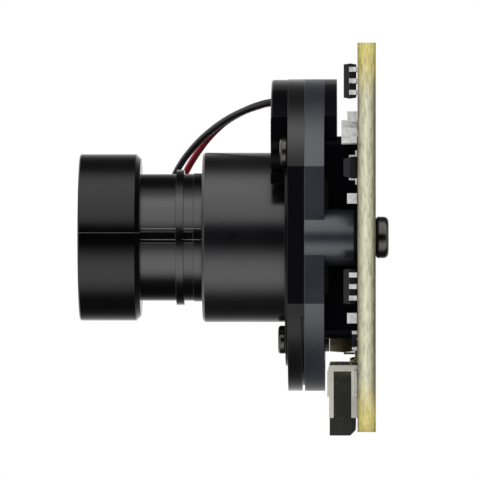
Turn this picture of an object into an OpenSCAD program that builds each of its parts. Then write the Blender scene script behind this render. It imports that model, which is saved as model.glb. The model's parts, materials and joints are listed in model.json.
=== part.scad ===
// Board camera module: a square circuit board that carries an image sensor, a screw-in
// miniature lens in its holder, and a motor-driven infrared-cut filter behind the lens.
//
// Every piece is drawn in the board's own frame: the board's back face lies on z = 0,
// +z runs forward along the optical axis and +x points to the top edge of the board.
// as_mounted() then stands the board upright, so the lens looks along the model's -X.
// All lengths are in millimetres.

/* [Board] */
// Side of the square circuit board
board_side = 32; // [31:0.5:40]
// Thickness of the circuit board
board_t = 1.5; // [1:0.1:2]
// Radius of the board's corners
board_corner_r = 1.2; // [0.4:0.1:1.8]
// Distance from a corner hole's centre to each board edge
board_hole_inset = 2; // [1.8:0.1:2.2]
// Diameter of the corner holes and of the two holder screw holes
board_hole_d = 2.2; // [2:0.1:2.4]

/* [Image sensor] */
// Length of the sensor package across the board
sensor_w = 8; // [6:0.1:10]
// Height of the sensor package up the board
sensor_h = 7.2; // [6:0.1:10]
// Thickness of the sensor package
sensor_t = 0.7; // [0.5:0.05:1]
// Thickness of the sensor's glass lid
sensor_lid_t = 0.4; // [0.3:0.05:0.5]
// Width of the package's rim round the lid
sensor_rim = 0.6; // [0.4:0.05:0.9]

/* [Lens holder] */
// Distance from the square skirt round the sensor to the board's edges
skirt_margin = 7.6; // [7:0.1:8]
// Wall of the skirt
skirt_wall = 1.2; // [0.8:0.1:1.6]
// Height of the skirt, from the board to the rear plate
skirt_h = 2.75; // [2.4:0.05:3.4]
// Height of the plates' centre above the optical axis
plate_rise = 0.2; // [0:0.05:0.3]
// Half width of the plates between their two flats
plate_flat = 11.8; // [11.7:0.1:12.1]
// Thickness of the rear plate
rear_plate_t = 1.66; // [1.5:0.02:2]
// Floor of the rear plate behind the filter carriage
rear_floor_t = 0.75; // [0.5:0.05:0.85]
// Wall round the hollow between the plates
plate_wall = 1; // [0.7:0.05:1.05]
// Thickness of the front plate
front_plate_t = 1.4; // [1.3:0.05:2]
// Radius of the raised face on the front plate
front_pad_r = 10.8; // [10:0.1:11]
// Height of the raised face on the front plate
front_pad_t = 0.23; // [0.1:0.01:0.4]
// Radius of the raised step on the back of the rear plate
rear_pad_r = 9.6; // [9:0.1:10.4]
// Height of the raised step on the back of the rear plate
rear_pad_t = 0.35; // [0.2:0.05:0.5]
// Outside diameter of the lens barrel mount
mount_d = 14.24; // [13.8:0.02:15.6]
// Length of the lens barrel mount in front of the raised face
mount_len = 6.96; // [6:0.02:8]
// Bevel on the mouth of the mount
mount_bevel = 0.2; // [0.1:0.05:0.4]
// Distance between the two holder screws
lug_pitch = 20; // [19.6:0.1:20.2]
// Diameter of the holder screw lugs
lug_d = 4.6; // [4.2:0.1:5]
// Diameter of the light opening behind the filter
window_d = 6.2; // [5:0.1:6.6]
// Depth of the parting groove under the front plate
groove_depth = 0.45; // [0.2:0.05:0.6]
// Width of the parting groove under the front plate
groove_w = 0.24; // [0.1:0.02:0.4]

/* [Lens] */
// Major diameter of the lens thread
thread_d = 12; // [11.8:0.02:12.2]
// Length of the lens thread
thread_len = 5.7; // [5.2:0.1:6.2]
// Diameter of the lens neck
neck_d = 10.66; // [10.4:0.02:11]
// Diameter of the ring on the neck
ring_d = 11.36; // [11.2:0.02:11.8]
// Width of the ring on the neck
ring_w = 0.65; // [0.4:0.05:1]
// Gap between the mount and the ring at rest
ring_gap = 1.56; // [1.52:0.02:2]
// Length of the neck between the ring and the head
neck_len = 2.99; // [2.5:0.01:4]
// Diameter of the lens head
head_d = 14; // [13.6:0.1:15]
// Length of the lens head
head_len = 5.13; // [4.9:0.01:6]
// Chamfer on the back of the head
head_chamfer = 0.4; // [0.2:0.05:0.6]
// Radius of the bore that the glass stack sits in
lens_bore_r = 4.6; // [4.5:0.02:4.7]
// Radius of the front glass
front_glass_r = 5.7; // [5.4:0.05:5.8]
// Radius of curvature of the front glass
front_glass_curve = 14; // [12:0.5:20]
// Width of the flat key on each side of the neck
neck_key_w = 0.92; // [0.6:0.02:1.4]
// Depth of the flat key on each side of the neck
neck_key_depth = 0.12; // [0.05:0.01:0.2]

/* [Filter switcher] */
// Sideways travel of the filter carriage, one window to the other
filter_travel = 7; // [6.8:0.05:7]
// Length of the filter carriage
carriage_len = 14.2; // [14:0.05:14.2]
// Height of the filter carriage
carriage_h = 7.9; // [7.8:0.05:8.2]
// Thickness of the filter carriage
carriage_t = 0.45; // [0.4:0.01:0.5]
// Width of each filter glass
glass_w = 6.3; // [6:0.05:6.4]
// Height of each filter glass
glass_h = 7; // [6.6:0.05:7.1]
// Thickness of each filter glass
glass_t = 0.3; // [0.2:0.01:0.35]
// Length of the lever from the rotor's axis to its pin
lever_len = 5; // [4.9:0.05:5.1]
// Diameter of the lever's pin
lever_pin_d = 0.8; // [0.6:0.05:0.9]
// Radial room between the mount and the motor's yoke
motor_gap = 0.28; // [0.26:0.01:0.4]
// Radial room between the motor's yoke and the wall round it
motor_room = 0.8; // [0.78:0.01:1]
// Sideways offset of the rotor's axis
rotor_side = -2.6; // [-2.8:0.05:-2.4]
// Diameter of the rotor magnet
magnet_d = 2.6; // [2:0.1:2.7]
// Diameter of the rotor's shaft
shaft_d = 0.7; // [0.5:0.05:0.8]
// Sideways position of the coil's axis
coil_side = 3.7; // [3.6:0.05:3.75]
// Diameter of the coil winding
coil_d = 2; // [1.8:0.05:2]
// Half width of the motor cover
cover_half_w = 8.6; // [8.2:0.1:9]
// Height of the motor cover in front of the front plate
cover_h = 1.41; // [1.3:0.01:1.6]
// Wall of the motor cover
cover_wall = 0.4; // [0.3:0.02:0.45]
// Lower edge of the motor cover above the optical axis
cover_low = 5.8; // [5.6:0.05:6.2]

/* [Screws] */
// Head diameter of the holder screws
board_screw_head_d = 3.45; // [3:0.05:4]
// Head height of the holder screws
board_screw_head_h = 1.08; // [0.8:0.02:1.3]
// Thread diameter of the holder screws
board_screw_d = 1.9; // [1.6:0.05:2]
// Length of the holder screws under the head
board_screw_len = 4.2; // [3.6:0.1:4.4]
// Head diameter of the cover screws
cover_screw_head_d = 2.37; // [2:0.01:2.4]
// Head height of the cover screws
cover_screw_head_h = 0.65; // [0.5:0.05:0.8]
// Thread diameter of the cover screws
cover_screw_d = 1.2; // [1:0.05:1.3]
// Length of the cover screws under the head
cover_screw_len = 2.5; // [2:0.1:2.7]

/* [Flat cable connector] */
// Number of contacts
ffc_pins = 15; // [10:1:17]
// Spacing of the contacts
ffc_pitch = 1; // [0.9:0.05:1.1]
// Housing beyond the outer contacts at each end
ffc_end = 2.8; // [2.6:0.1:3.2]
// Depth of the housing, front to back
ffc_depth = 4.35; // [4:0.05:4.8]
// Height of the housing above the board
ffc_h = 2.36; // [2.2:0.02:2.6]
// Distance from the housing's mouth to the board's edge
ffc_inset = 1.06; // [0.8:0.02:1.2]
// Depth of the latch's bar
latch_bar = 1.41; // [1.2:0.01:1.6]

/* [Wires] */
// Outside diameter of each motor wire
wire_d = 0.58; // [0.5:0.01:0.62]

/* [Small parts] */
// Spacing of the leads on the small chips
chip_pitch = 0.95; // [0.8:0.05:1]
// Length of each small chip's body
chip_len = 2.9; // [2.7:0.05:3]
// Width of each small chip's body
chip_w = 1.6; // [1.4:0.05:1.7]
// Span of a small chip over its leads
chip_span = 2.8; // [2.6:0.05:3]
// Height of each small chip above the board
chip_h = 1.15; // [1:0.05:1.3]

/* [Hidden] */
$fn = 72;
eps = 0.01;           // overlap of joined shapes and overrun of cuts
slip = 0.03;          // gap between pieces that touch
fit = 0.05;           // gap round a piece that sits in a pocket or bore

// Motor and plates, from the lens mount outward
yoke_t = 0.4;
yoke_h = 1.1;
yoke_gap = 0.25;
yoke_half = magnet_d / 2 + yoke_gap;
rotor_up = mount_d / 2 + motor_gap + yoke_t + yoke_half;
plate_r = rotor_up + yoke_half + yoke_t + motor_room + plate_wall;

// Skirt and board, from the optical axis
edge = board_side / 2;
skirt_side = board_side - 2 * skirt_margin;

// Levels along the optical axis, from the board's back face forward
z_board = board_t;
z_plate = z_board + skirt_h;
z_floor = z_plate + rear_floor_t;
z_split = z_plate + rear_plate_t;
z_front = z_split + front_plate_t;
z_pad = z_front + front_pad_t;
z_cover = z_front + cover_h;
z_mount = z_pad + mount_len;
z_ring = z_mount + ring_gap;
z_neck = z_ring + ring_w;
z_head = z_neck + neck_len;
z_nose = z_head + head_len;
z_thread = z_mount - 0.6;             // front end of the lens thread
z_lens = z_thread - thread_len;       // rear end of the lens

// Lens stack, from the back forward
z_rear_glass = z_lens + 1.4;
rear_glass_t = 2.8;
z_long_spacer = z_rear_glass + rear_glass_t;
z_middle_glass = z_head - 2.8;
middle_glass_t = 2.3;
stop_t = 0.3;
z_stop = z_middle_glass - stop_t;
z_short_spacer = z_middle_glass + middle_glass_t;
z_front_glass = z_head + 1.2;
front_glass_edge = 1.8;
element_r = lens_bore_r - fit;
spacer_wall = 0.5;
middle_curve = 16;
rear_curve = 13;
front_glass_top = z_front_glass + front_glass_edge + sagitta(front_glass_curve, front_glass_r);
retainer_r = front_glass_r + 0.4;
retainer_in = front_glass_r - 0.7;
retainer_t = 1.1;
z_retainer = front_glass_top - sagitta(front_glass_curve, retainer_in) + slip;

// Filter switcher
z_carriage = z_floor + 0.1;
z_lever = z_carriage + carriage_t + 0.1;
lever_t = 0.6;
z_magnet = z_lever + lever_t;
magnet_t = 1.6;
lever_pocket = z_lever + lever_t - z_split + 0.2;
lever_angle = asin(filter_travel / 2 / lever_len);
lever_low = rotor_up - lever_len * cos(lever_angle);   // pin height at either end of its swing
lever_boss_r = lever_pin_d / 2 + 0.4;
slot_clear = 0.2;                                      // play of the pin in the carriage's slot
slot_w = lever_pin_d + 2 * slot_clear;
arm_w = slot_w + 1.1;
carriage_arm_top = lever_low + slot_w / 2 + 0.5;
track_gap = 0.15;
ledge_t = 0.12;                                        // ledge that each filter glass rests on
pocket_t = 1;                                          // height of the shaft pocket on the back
carriage_side = -filter_travel / 2;                    // centre of the carriage at rest
z_yoke = z_magnet + 0.15;
z_coil = z_yoke + yoke_h / 2;
coil_flange = 0.25;
core_r = 0.45;
bobbin_wall = 0.2;
terminal_r = 0.2;
coil_low = rotor_up - yoke_half;
coil_high = rotor_up + yoke_half;

// Screw positions, as [up, side] from the optical axis
cover_screw_r = plate_r - 1.32;
cover_screw_turn = 52.94;
low_screw_gap = 1.48;
cover_screws_at = [
    [-mount_d / 2 - low_screw_gap, 0],
    [cover_screw_r * cos(cover_screw_turn), -cover_screw_r * sin(cover_screw_turn)],
    [cover_screw_r * cos(cover_screw_turn), cover_screw_r * sin(cover_screw_turn)]
];
holder_screws_at = [[0, -lug_pitch / 2], [0, lug_pitch / 2]];
boss_r = cover_screw_d / 2 + 0.9;
head_recess_r = cover_screw_head_d / 2 + 0.12;

// Flat cable connector, from the board's lower edge up
ffc_mouth = -edge + ffc_inset;
ffc_back = ffc_mouth + ffc_depth;
ffc_half = (ffc_pins * ffc_pitch) / 2 + ffc_end;
slot_half = (ffc_pins * ffc_pitch) / 2 + 0.6;
z_ffc = z_board + ffc_h;
ffc_wall = 0.55;
z_slot = z_board + 0.75;               // floor of the slot for the flat cable
slot_t = 0.95;
arm_in = slot_half + 0.8;
z_arm = z_board + 0.57;
arm_h = 1.35;
arm_len = 3.65;
tongue_t = 0.4;
contact_w = 0.32;
contact_t = 0.2;
contact_tip = ffc_mouth + 1;
hold_down_len = 2.2;
hold_down_low = ffc_back - 2.6;
hold_down_t = 0.16;

// Motor wires: points as [up, side, forward] from the rotor's axis and the front plate,
// chosen by hand. They leave the motor cover beside the top of the mount, hang in a free
// loop beside the lens and end in the plug.
black_points = [
    [2.1, 2.3, 0.74], [2.1, 2.3, 1.19], [2, 2.35, 1.89], [1.75, 2.65, 2.79], [1.4, 3.2, 3.69],
    [1, 4, 4.59], [0.45, 4.95, 5.59], [-0.25, 5.95, 6.59], [-1.05, 6.9, 7.54], [-2, 7.75, 8.44],
    [-3.05, 8.5, 9.24], [-4.25, 9.15, 9.89], [-5.6, 9.75, 10.34], [-7.05, 10.3, 10.54],
    [-8.55, 10.8, 10.49], [-10.05, 11.3, 10.09], [-11.45, 11.8, 9.29], [-12.65, 12.3, 8.14],
    [-13.65, 12.8, 6.74], [-14.4, 13.3, 5.19], [-14.9, 13.7, 3.59], [-15.2, 13.95, 2.09],
    [-15.3, 14.1, 0.79], [-15.35, 14.1, -0.21], [-15.35, 14.1, -1.11], [-15.35, 14.1, -2.01]
];
red_points = [
    [2, 3, 0.74], [2, 3, 1.19], [1.95, 3.05, 1.84], [1.7, 3.4, 2.74], [1.4, 4.05, 3.64],
    [1, 4.9, 4.49], [0.5, 5.85, 5.34], [-0.15, 6.8, 6.14], [-0.9, 7.65, 6.89], [-1.7, 8.4, 7.54],
    [-2.55, 9, 8.14], [-3.45, 9.45, 8.69], [-4.45, 9.85, 9.19], [-5.55, 10.2, 9.54],
    [-6.75, 10.6, 9.74], [-8, 11, 9.69], [-9.25, 11.4, 9.39], [-10.45, 11.85, 8.79],
    [-11.55, 12.35, 7.84], [-12.45, 12.85, 6.59], [-13.2, 13.35, 5.09], [-13.7, 13.75, 3.49],
    [-14, 14, 1.99], [-14.1, 14.1, 0.49], [-14.1, 14.1, -0.81], [-14.1, 14.1, -2.01]
];
black_route = [for (p = black_points) p + [rotor_up, 0, z_front]];
red_route = [for (p = red_points) p + [rotor_up, 0, z_front]];
wire_ends = [black_route[0], red_route[0]];
z_wire = black_route[0][2];            // where the wires start on the coil's terminals
plug_at = [(black_route[25][0] + red_route[25][0]) / 2, black_route[25][1]];
plug_pitch = red_route[25][0] - black_route[25][0];
z_plug = 6.2;                          // front face of the plug
header_h = 2.7;
header_wall = 0.4;
plug_len = 3.6;
plug_w = 2.2;
plug_key = 1;
pin_r = 0.25;
z_wire_end = black_route[25][2];       // where the wires end inside the plug
z_pin = z_wire_end - 0.4;

// Small parts on the front of the board, as [up, side] of their centres
upper_chip_at = [edge - 3.05, -edge + 6.5];
middle_chip_at = [5.75, -edge + 3.4];
lower_chip_at = [-4.05, -edge + 3.5];
small_caps_at = [
    [9.95, -edge + 2.6], [3.2, -edge + 2.6], [-6.65, -edge + 2.6],
    [9.6, edge - 3.4], [5.4, edge - 3.4]
];
large_cap_at = [8.4, -edge + 3];
resistor_at = [[-8.5, -edge + 2.8], [3.2, edge - 2.6]];
inductor_at = [8.7, -skirt_side / 2 - 1.7];
tantalum_at = [ffc_back + 3.79, skirt_side / 2 + 1.95];
small_cap = [0.85, 1.6, 0.82];         // up, side, height
large_cap = [1.25, 2, 1.2];
cap_end = 0.35;
resistor_end = 0.3;
inductor_end = 0.35;
tantalum_lead_t = 0.15;
resistor_size = [1.6, 0.8, 0.42];
inductor_size = [2, 2, 1.3];
tantalum_size = [6, 3.2, 2.4];

// ---- helpers -------------------------------------------------------------------

// Height of a circular arc of radius r over a half chord c
function sagitta(r, c) = r - sqrt(r * r - c * c);

module as_mounted() rotate([0, -90, 0]) children();

// Square with round corners, drawn from exact squares and circles
module round_square(size, r) {
    difference() {
        square(size, center = true);
        for (sx = [-1, 1], sy = [-1, 1])
            translate([sx * (size[0] / 2 - r / 2 + eps), sy * (size[1] / 2 - r / 2 + eps)])
                square(r + 2 * eps, center = true);
    }
    for (sx = [-1, 1], sy = [-1, 1])
        translate([sx * (size[0] / 2 - r), sy * (size[1] / 2 - r)]) circle(r);
}

// Disc that both plates are cut from
module plate_disc(inset = 0) translate([plate_rise, 0]) circle(plate_r - inset);

// Outline shared by both plates: the disc with a flat on each side
module plate_outline(inset = 0) {
    intersection() {
        plate_disc(inset);
        square([3 * plate_r, 2 * (plate_flat - inset)], center = true);
    }
}

// Outline of the bosses that the cover screws bite into
module boss_outlines() for (at = cover_screws_at) translate(at) circle(boss_r);

// Where the lever swings, seen along the optical axis
module lever_sweep() {
    difference() {
        intersection() {
            translate([rotor_up, rotor_side]) circle(lever_len + lever_boss_r + 0.3);
            plate_outline(plate_wall);
        }
        boss_outlines();
    }
}

// Track of the filter carriage and of its slotted arm
module carriage_track() {
    half = filter_travel / 2 + carriage_len / 2 + 0.2;
    track_h = carriage_h + 2 * track_gap;
    arm_half = filter_travel / 2 + arm_w / 2 + 0.2;
    square([track_h, 2 * half], center = true);
    translate([0, rotor_side - arm_half]) square([carriage_arm_top + 0.2, 2 * arm_half]);
}

// Box from one corner to the other
module block(low, high) translate(low) cube(high - low);

// Cylinder along z between two levels
module post(at, r, low, high) translate([at[0], at[1], low]) cylinder(r = r, h = high - low);

// Pan-head screw with its head's seat on z = 0, head on the +z side and shank below
module pan_screw(head_d, head_h, shank_d, shank_len) {
    edge = head_h * 0.4;
    recess_w = head_d * 0.16;
    recess_l = head_d * 0.56;
    difference() {
        union() {
            rotate_extrude()
                union() {
                    square([head_d / 2 - edge, head_h]);
                    translate([0, edge * 0.6]) square([head_d / 2, head_h - edge * 1.6]);
                    translate([head_d / 2 - edge, head_h - edge]) circle(edge);
                    translate([head_d / 2 - edge * 0.6, edge * 0.6]) circle(edge * 0.6);
                    square([head_d / 2 - edge * 0.6, edge]);
                }
            translate([0, 0, -shank_len]) cylinder(d = shank_d, h = shank_len + eps);
        }
        for (turn = [0, 90])
            rotate([0, 0, turn])
                translate([0, 0, head_h * 0.75])
                    cube([recess_l, recess_w, head_h * 0.8], center = true);
    }
}

// ---- circuit board and sensor --------------------------------------------------

module board() {
    color("darkgreen")
        difference() {
            linear_extrude(board_t) round_square([board_side, board_side], board_corner_r);
            for (sx = [-1, 1], sy = [-1, 1])
                post([sx, sy] * (board_side / 2 - board_hole_inset), board_hole_d / 2, -eps, board_t + eps);
            for (at = holder_screws_at)
                post(at, board_hole_d / 2, -eps, board_t + eps);
        }
}

module sensor_package() {
    color("dimgray")
        difference() {
            translate([-sensor_h / 2, -sensor_w / 2, z_board]) cube([sensor_h, sensor_w, sensor_t]);
            translate([-sensor_h / 2 + sensor_rim, -sensor_w / 2 + sensor_rim, z_board + sensor_t / 2])
                cube([sensor_h - 2 * sensor_rim, sensor_w - 2 * sensor_rim, sensor_t]);
        }
}

module sensor_die() {
    gap = sensor_rim + 0.5;
    color("purple")
        translate([-sensor_h / 2 + gap, -sensor_w / 2 + gap, z_board + sensor_t / 2])
            cube([sensor_h - 2 * gap, sensor_w - 2 * gap, sensor_t / 4]);
}

module sensor_lid() {
    rim = sensor_rim / 2;
    color("lightcyan")
        translate([-sensor_h / 2 + rim, -sensor_w / 2 + rim, z_board + sensor_t])
            cube([sensor_h - 2 * rim, sensor_w - 2 * rim, sensor_lid_t]);
}

// ---- lens holder ---------------------------------------------------------------

// Raised pocket on the back of the rear plate that carries the rotor's shaft
module shaft_pocket(low, high) {
    pocket_low = skirt_side / 2 - 0.1;
    translate([0, 0, low])
        linear_extrude(high - low)
            intersection() {
                plate_outline();
                translate([pocket_low, -cover_half_w]) square([plate_r, 2 * cover_half_w]);
            }
}

module lug(side) {
    bevel = 0.3;
    web_in = skirt_side / 2 - skirt_wall;
    at = [0, side * lug_pitch / 2];
    post(at, lug_d / 2, z_board + bevel, z_split);
    translate([at[0], at[1], z_board]) cylinder(r1 = lug_d / 2 - bevel, r2 = lug_d / 2, h = bevel + eps);
    translate([-lug_d / 2, min(side * web_in, at[1]), z_board + bevel])
        cube([lug_d, lug_pitch / 2 - web_in, skirt_h]);
}

module holder_base() {
    color([0.22, 0.22, 0.26])
        difference() {
            union() {
                translate([0, 0, z_board]) linear_extrude(skirt_h + eps) round_square([skirt_side, skirt_side], 0.8);
                post([0, 0], rear_pad_r, z_plate - rear_pad_t, z_plate + eps);
                translate([0, 0, z_plate]) linear_extrude(rear_plate_t) plate_outline();
                shaft_pocket(z_plate - pocket_t, z_plate + eps);
                for (side = [-1, 1]) lug(side);
            }
            // sensor chamber
            translate([0, 0, z_board - eps])
                linear_extrude(skirt_h + eps)
                    round_square([skirt_side - 2 * skirt_wall, skirt_side - 2 * skirt_wall], 0.5);
            // light opening
            post([0, 0], window_d / 2, z_board, z_split);
            // hollow for the filter carriage and its lever
            translate([0, 0, z_floor])
                linear_extrude(z_split - z_floor + eps) {
                    carriage_track();
                    lever_sweep();
                }
            // screw holes
            for (at = holder_screws_at)
                post(at, board_screw_d / 2 + slip, z_board - eps, board_screw_len + 0.2);
            for (at = cover_screws_at)
                post(at, cover_screw_d / 2 + slip, z_front - cover_screw_len - slip, z_split + eps);
            // seat of the rotor's shaft
            post([rotor_up, rotor_side], shaft_d / 2 + slip, z_plate - pocket_t / 2, z_floor + eps);
        }
}

// Opening through the front plate for the rotor, yoke and coil
module motor_opening(low, high) {
    side_low = rotor_side - yoke_half - 0.4;
    side_high = coil_side + coil_d / 2 + 0.2;
    translate([0, 0, low])
        linear_extrude(high - low)
            intersection() {
                plate_disc(plate_wall);
                translate([mount_d / 2 + 0.2, side_low]) square([plate_r, side_high - side_low]);
            }
}

module holder_front() {
    color([0.16, 0.16, 0.18])
        difference() {
            union() {
                translate([0, 0, z_split]) linear_extrude(front_plate_t) plate_outline();
                translate([0, 0, z_front - eps]) cylinder(r = front_pad_r, h = front_pad_t + eps);
                post([0, 0], mount_d / 2, z_front, z_mount - mount_bevel);
                translate([0, 0, z_mount - mount_bevel])
                    cylinder(r1 = mount_d / 2, r2 = mount_d / 2 - mount_bevel, h = mount_bevel);
            }
            // lens bore
            post([0, 0], thread_d / 2, z_split - eps, z_mount + eps);
            // room for the lever's swing
            translate([0, 0, z_split - eps]) linear_extrude(lever_pocket + eps) lever_sweep();
            motor_opening(z_split - eps, z_pad + eps);
            for (at = cover_screws_at) {
                post(at, cover_screw_d / 2 + slip, z_split - eps, z_pad + eps);
                // the upper heads sit beside the raised face and bite into its rim
                if (norm(at) > front_pad_r) post(at, head_recess_r, z_front, z_pad + eps);
            }
            // parting groove round the lower edge
            translate([0, 0, z_split - eps])
                linear_extrude(groove_w)
                    difference() {
                        translate([-1.5 * plate_r, -plate_r]) square([plate_r, 2 * plate_r]);
                        plate_outline(groove_depth);
                    }
        }
}

// Foot of the motor cover, which snaps down beside the mount
module cover_foot(side) {
    foot_in = mount_d / 2 - 0.9;
    foot_out = cover_half_w - 0.3;
    foot_low = 4.45;
    foot_high = 5.35;
    translate([foot_low, side > 0 ? foot_in : -foot_out, z_pad])
        cube([foot_high - foot_low, foot_out - foot_in, z_cover - z_pad]);
    translate([foot_high - eps, side > 0 ? foot_in : -foot_out + 0.3, z_pad])
        cube([cover_low - foot_high + 2 * eps, foot_out - foot_in - 0.3, z_cover - z_pad - 0.2]);
}

module motor_cover() {
    edge = 0.25;
    rim = plate_r - 0.05;
    color([0.1, 0.1, 0.11])
        difference() {
            union() {
                intersection() {
                    translate([plate_rise, 0, z_front])
                        rotate_extrude()
                            union() {
                                square([rim, cover_h - edge]);
                                square([rim - edge, cover_h]);
                                translate([rim - edge, cover_h - edge]) circle(edge);
                            }
                    block([cover_low, -cover_half_w, z_front - eps], [1.5 * plate_r, cover_half_w, z_cover + eps]);
                }
                for (side = [-1, 1]) cover_foot(side);
            }
            // raised face of the plate and the mount pass through
            post([0, 0], front_pad_r + fit, z_front - eps, z_pad);
            post([0, 0], mount_d / 2 + 0.15, z_pad - eps, z_cover + eps);
            // room for the heads of the upper screws
            for (at = cover_screws_at)
                post(at, head_recess_r, z_front - eps, z_cover + eps);
            // motor chamber
            motor_opening(z_front - eps, z_cover - cover_wall);
            post([rotor_up, rotor_side], shaft_d / 2 + slip, z_front, z_cover - cover_wall / 2);
            for (at = wire_ends)
                post(at, wire_d / 2 + fit, z_cover - cover_wall - eps, z_cover + eps);
        }
}

module board_screws() {
    color([0.12, 0.11, 0.08])
        for (at = holder_screws_at)
            translate([at[0], at[1], 0])
                mirror([0, 0, 1])
                    pan_screw(board_screw_head_d, board_screw_head_h, board_screw_d, board_screw_len);
}

module cover_screws() {
    color([0.12, 0.12, 0.13])
        for (at = cover_screws_at)
            translate([at[0], at[1], norm(at) < front_pad_r ? z_pad : z_front])
                pan_screw(cover_screw_head_d, cover_screw_head_h, cover_screw_d, cover_screw_len);
}

// ---- filter switcher -------------------------------------------------------------

module yoke() {
    arm_end = 0.3;                    // the arms run this far past the core's axis
    arm_low = rotor_side - magnet_d / 2;
    color("gray")
        union() {
            for (up = [coil_low - yoke_t, coil_high])
                translate([up, arm_low, z_yoke])
                    cube([yoke_t, coil_side + arm_end - arm_low, yoke_h]);
            translate([coil_low - eps, coil_side, z_coil])
                rotate([0, 90, 0]) cylinder(r = core_r, h = coil_high - coil_low + 2 * eps);
        }
}

module coil_bobbin() {
    bore_r = core_r + slip;
    block_low = wire_ends[0][1] - wire_d / 2 - 0.1;
    block_high = wire_ends[1][1] + wire_d / 2 + 0.2;
    color("ivory")
        difference() {
            union() {
                translate([coil_low + slip, coil_side, z_coil])
                    rotate([0, 90, 0]) {
                        cylinder(r = bore_r + bobbin_wall, h = coil_high - coil_low - 2 * slip);
                        cylinder(d = coil_d, h = coil_flange);
                        translate([0, 0, coil_high - coil_low - 2 * slip - coil_flange])
                            cylinder(d = coil_d, h = coil_flange);
                    }
                // block that carries the terminals, over the yoke's upper arm
                translate([0, 0, z_yoke + yoke_h + slip])
                    linear_extrude(z_wire - z_yoke - yoke_h - slip)
                        intersection() {
                            plate_disc(plate_wall + fit);
                            translate([coil_high - slip - coil_flange, block_low])
                                square([2, block_high - block_low]);
                        }
            }
            translate([coil_low, coil_side, z_coil])
                rotate([0, 90, 0]) cylinder(r = bore_r, h = coil_high - coil_low);
            for (at = wire_ends)
                post(at, terminal_r + slip, z_yoke + yoke_h, z_wire + eps);
        }
}

module coil_winding() {
    bore_r = core_r + bobbin_wall + 2 * slip;
    winding_low = coil_low + coil_flange + 2 * slip;
    winding_high = coil_high - coil_flange - 2 * slip;
    color("peru")
        translate([winding_low, coil_side, z_coil])
            rotate([0, 90, 0])
                difference() {
                    cylinder(d = coil_d - 0.1, h = winding_high - winding_low);
                    translate([0, 0, -eps]) cylinder(r = bore_r, h = winding_high - winding_low + 2 * eps);
                }
}

module coil_terminals() {
    color("silver")
        for (at = wire_ends) post(at, terminal_r, z_yoke + yoke_h + slip, z_wire);
}

module rotor_shaft() {
    color("silver")
        post([rotor_up, rotor_side], shaft_d / 2, z_plate - pocket_t / 2 + slip, z_cover - cover_wall / 2 - slip);
}

module rotor_magnet() {
    color("dimgray")
        difference() {
            post([rotor_up, rotor_side], magnet_d / 2, z_magnet, z_magnet + magnet_t);
            post([rotor_up, rotor_side], shaft_d / 2 + fit, z_magnet - eps, z_magnet + magnet_t + eps);
        }
}

// The lever is drawn at rest, swung to the side that brings the infrared-cut glass
// in front of the sensor
module swing_lever() {
    hub_r = shaft_d / 2 + 0.55;
    arm = 0.9;
    color([0.85, 0.85, 0.82])
        translate([rotor_up, rotor_side, 0])
            rotate([0, 0, 180 + lever_angle])
                difference() {
                    union() {
                        post([0, 0], hub_r, z_lever, z_magnet);
                        post([lever_len, 0], lever_boss_r, z_lever, z_magnet);
                        block([0, -arm / 2, z_lever], [lever_len, arm / 2, z_magnet]);
                        post([lever_len, 0], lever_pin_d / 2, z_carriage, z_lever + eps);
                    }
                    post([0, 0], shaft_d / 2 + fit, z_lever - eps, z_magnet + eps);
                }
}

// Places its children at each glass of the carriage at rest; side picks one of the two
module at_glass(side) translate([0, carriage_side + side * filter_travel / 2, 0]) children();

module filter_carriage() {
    arm_at = carriage_side + rotor_side;
    color([0.14, 0.14, 0.15])
        difference() {
            union() {
                translate([-carriage_h / 2, carriage_side - carriage_len / 2, z_carriage])
                    cube([carriage_h, carriage_len, carriage_t]);
                translate([0, arm_at - arm_w / 2, z_carriage])
                    cube([carriage_arm_top, arm_w, carriage_t]);
            }
            for (side = [-1, 1])
                at_glass(side) {
                    translate([-glass_h / 2 - fit, -glass_w / 2 - fit, z_carriage + ledge_t])
                        cube([glass_h + 2 * fit, glass_w + 2 * fit, carriage_t]);
                    translate([-glass_h / 2 + 0.2, -glass_w / 2 + 0.2, z_carriage - eps])
                        cube([glass_h - 0.4, glass_w - 0.4, carriage_t]);
                }
            // slot for the lever's pin, long enough for the pin's rise and fall
            slot_low = rotor_up - lever_len - lever_pin_d / 2 - 0.1;
            slot_high = lever_low + lever_pin_d / 2 + 0.1;
            translate([slot_low, arm_at - slot_w / 2, z_carriage - eps])
                cube([slot_high - slot_low, slot_w, carriage_t + 2 * eps]);
        }
}

module filter_glass(side) {
    at_glass(side)
        translate([-glass_h / 2, -glass_w / 2, z_carriage + ledge_t])
            cube([glass_h, glass_w, glass_t]);
}

module ir_cut_filter() color([0.5, 0.85, 0.8]) filter_glass(1);

module clear_filter() color([0.9, 0.95, 0.95]) filter_glass(-1);

// ---- lens ------------------------------------------------------------------------

module neck_keys() {
    for (side = [-1, 1])
        translate([-neck_key_w / 2, side > 0 ? neck_d / 2 - neck_key_depth : -neck_d, z_mount])
            cube([neck_key_w, neck_d / 2 + neck_key_depth, z_head - z_mount]);
}

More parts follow.
